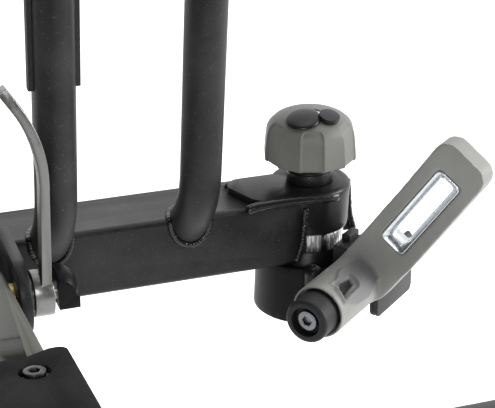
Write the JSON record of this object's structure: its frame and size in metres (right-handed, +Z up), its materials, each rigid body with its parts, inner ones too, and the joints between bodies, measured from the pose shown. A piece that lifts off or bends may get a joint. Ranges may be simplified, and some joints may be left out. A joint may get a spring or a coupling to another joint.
{
  "type": "hitch bike carrier",
  "caption": "Hitch carrier with a swing-away square arm, leaning mast, toothed lock knob, release handle, cam clamp and a folding two-tray platform.",
  "frame": {"origin": "centre of the hitch pin hole, on the shank's centre line", "axes": "+X across, along the pin hole, towards the arm's pivot; +Y along the shank towards the vehicle; +Z up"},
  "size_m": [1.248, 1.1226, 0.6833],
  "materials": {
    "frame_paint": "fine textured black powder coat",
    "fine_paint": "smooth black powder coat",
    "zinc_plate": "bright zinc plate",
    "silver_lever": "brushed aluminium",
    "olive_grip": "moulded warm grey plastic",
    "olive_cover": "warm grey sheet cover",
    "black_plastic": "matt black plastic",
    "black_rubber": "black rubber",
    "bolt_black": "black oxide steel",
    "brass_insert": "turned brass",
    "spring_steel": "spring wire"
  },
  "bodies": {
    "base": {"hitch_shank": "frame_paint", "cross_tube": "frame_paint", "tube_plugs": "black_plastic", "hinge_knuckle": "fine_paint", "pivot_post": "zinc_plate", "index_ring": "zinc_plate"},
    "arm": {"swing_arm": "frame_paint", "pivot_barrel": "fine_paint", "pivot_bushes": "brass_insert", "top_plate": "fine_paint", "lower_cup": "fine_paint", "cup_boss": "fine_paint", "rear_rib": "fine_paint", "arm_cap": "black_plastic", "latch_housing": "fine_paint", "outer_hoop": "frame_paint", "inner_hoop": "frame_paint", "crosspieces": "frame_paint", "bumper_pads": "black_rubber", "fold_bracket": "frame_paint", "fold_rod": "zinc_plate", "rod_nut": "bolt_black", "clamp_nut": "bolt_black", "clamp_head": "black_plastic"},
    "knob": {"clamp_knob": "olive_grip", "knob_insert": "brass_insert", "knob_collar": "black_plastic"},
    "lock": {"lock_core": "zinc_plate"},
    "keycover": {"lock_cover": "black_plastic", "cover_cap": "black_plastic"},
    "lever": {"release_lever": "olive_grip", "opener_frame": "zinc_plate", "hub_bumper": "black_rubber", "hub_screw": "bolt_black", "lever_shaft": "zinc_plate", "latch_spring": "spring_steel"},
    "latch": {"latch_plunger": "zinc_plate"},
    "cam": {"clamp_lever": "silver_lever"},
    "platform": {"spine": "frame_paint", "spine_bush": "brass_insert", "spine_cover": "olive_cover", "spine_cap": "black_plastic", "top_rail": "fine_paint", "rail_bolts": "bolt_black", "tray_bolts": "bolt_black", "inner_tray": "black_plastic", "outer_tray": "black_plastic", "tray_caps": "black_plastic", "inner_strap": "black_rubber", "inner_buckle_base": "black_plastic", "outer_strap": "black_rubber", "outer_buckle_base": "black_plastic"},
    "inner_carriage": {"inner_slider": "black_plastic"},
    "outer_carriage": {"outer_slider": "black_plastic"},
    "inner_arm": {"inner_hook": "fine_paint"},
    "outer_arm": {"outer_hook": "fine_paint"},
    "inner_ratchet": {"inner_buckle": "black_plastic"},
    "outer_ratchet": {"outer_buckle": "black_plastic"}
  },
  "joints": [
    {"name": "arm_swing", "type": "hinge", "parent": "base", "child": "arm", "pos_m": [0.28, -0.2608, 0.037], "axis": [0, 0, 1], "range_deg": [0, 90]},
    {"name": "knob_turn", "type": "hinge", "parent": "arm", "child": "knob", "pos_m": [0.28, -0.2608, 0.107], "axis": [0, 0, 1], "continuous": true},
    {"name": "key_turn", "type": "hinge", "parent": "knob", "child": "lock", "pos_m": [0.27978, -0.26769, 0.1206], "axis": [-0.0036, -0.1149, 0.9934], "range_deg": [0, 90]},
    {"name": "cover_swivel", "type": "hinge", "parent": "knob", "child": "keycover", "pos_m": [0.28757, -0.27838, 0.12207], "axis": [0.1183, -0.2747, 0.9542], "range_deg": [-44, 10]},
    {"name": "lever_lift", "type": "hinge", "parent": "arm", "child": "lever", "pos_m": [0.31728, -0.30523, 0.014], "axis": [-0.766, -0.6428, 0], "range_deg": [0, 40], "stiffness_Nm_per_rad": 1.2, "springref_deg": -34.38},
    {"name": "latch_slide", "type": "slide", "parent": "arm", "child": "latch", "axis": [0.6428, -0.766, 0], "range_m": [0, 0.0045]},
    {"name": "cam_turn", "type": "hinge", "parent": "arm", "child": "cam", "pos_m": [0.0607, -0.3408, 0.05], "axis": [1, 0, 0], "range_deg": [0, 65]},
    {"name": "platform_fold", "type": "hinge", "parent": "arm", "child": "platform", "pos_m": [0, -0.3408, 0.05], "axis": [-1, 0, 0], "range_deg": [0, 65]},
    {"name": "inner_slide", "type": "slide", "parent": "platform", "child": "inner_carriage", "axis": [1, 0, 0], "range_m": [-0.2, 0.12]},
    {"name": "outer_slide", "type": "slide", "parent": "platform", "child": "outer_carriage", "axis": [1, 0, 0], "range_m": [-0.2, 0.12]},
    {"name": "inner_hook_swing", "type": "hinge", "parent": "inner_carriage", "child": "inner_arm", "pos_m": [0.43, -0.73571, 0.16262], "axis": [0, -0.9964, 0.0844], "range_deg": [-75, 20]},
    {"name": "outer_hook_swing", "type": "hinge", "parent": "outer_carriage", "child": "outer_arm", "pos_m": [0.43, -0.93998, 0.17992], "axis": [0, -0.9964, 0.0844], "range_deg": [-75, 20]},
    {"name": "inner_buckle_turn", "type": "hinge", "parent": "platform", "child": "inner_ratchet", "pos_m": [-0.455, -0.80018, 0.14791], "axis": [1, 0, 0], "range_deg": [0, 80]},
    {"name": "outer_buckle_turn", "type": "hinge", "parent": "platform", "child": "outer_ratchet", "pos_m": [-0.455, -1.00445, 0.1652], "axis": [1, 0, 0], "range_deg": [0, 80]}
  ],
  "couplings": [
    {"joint": "latch_slide", "follows": "lever_lift", "m_per_rad": 0.006369}
  ]
}
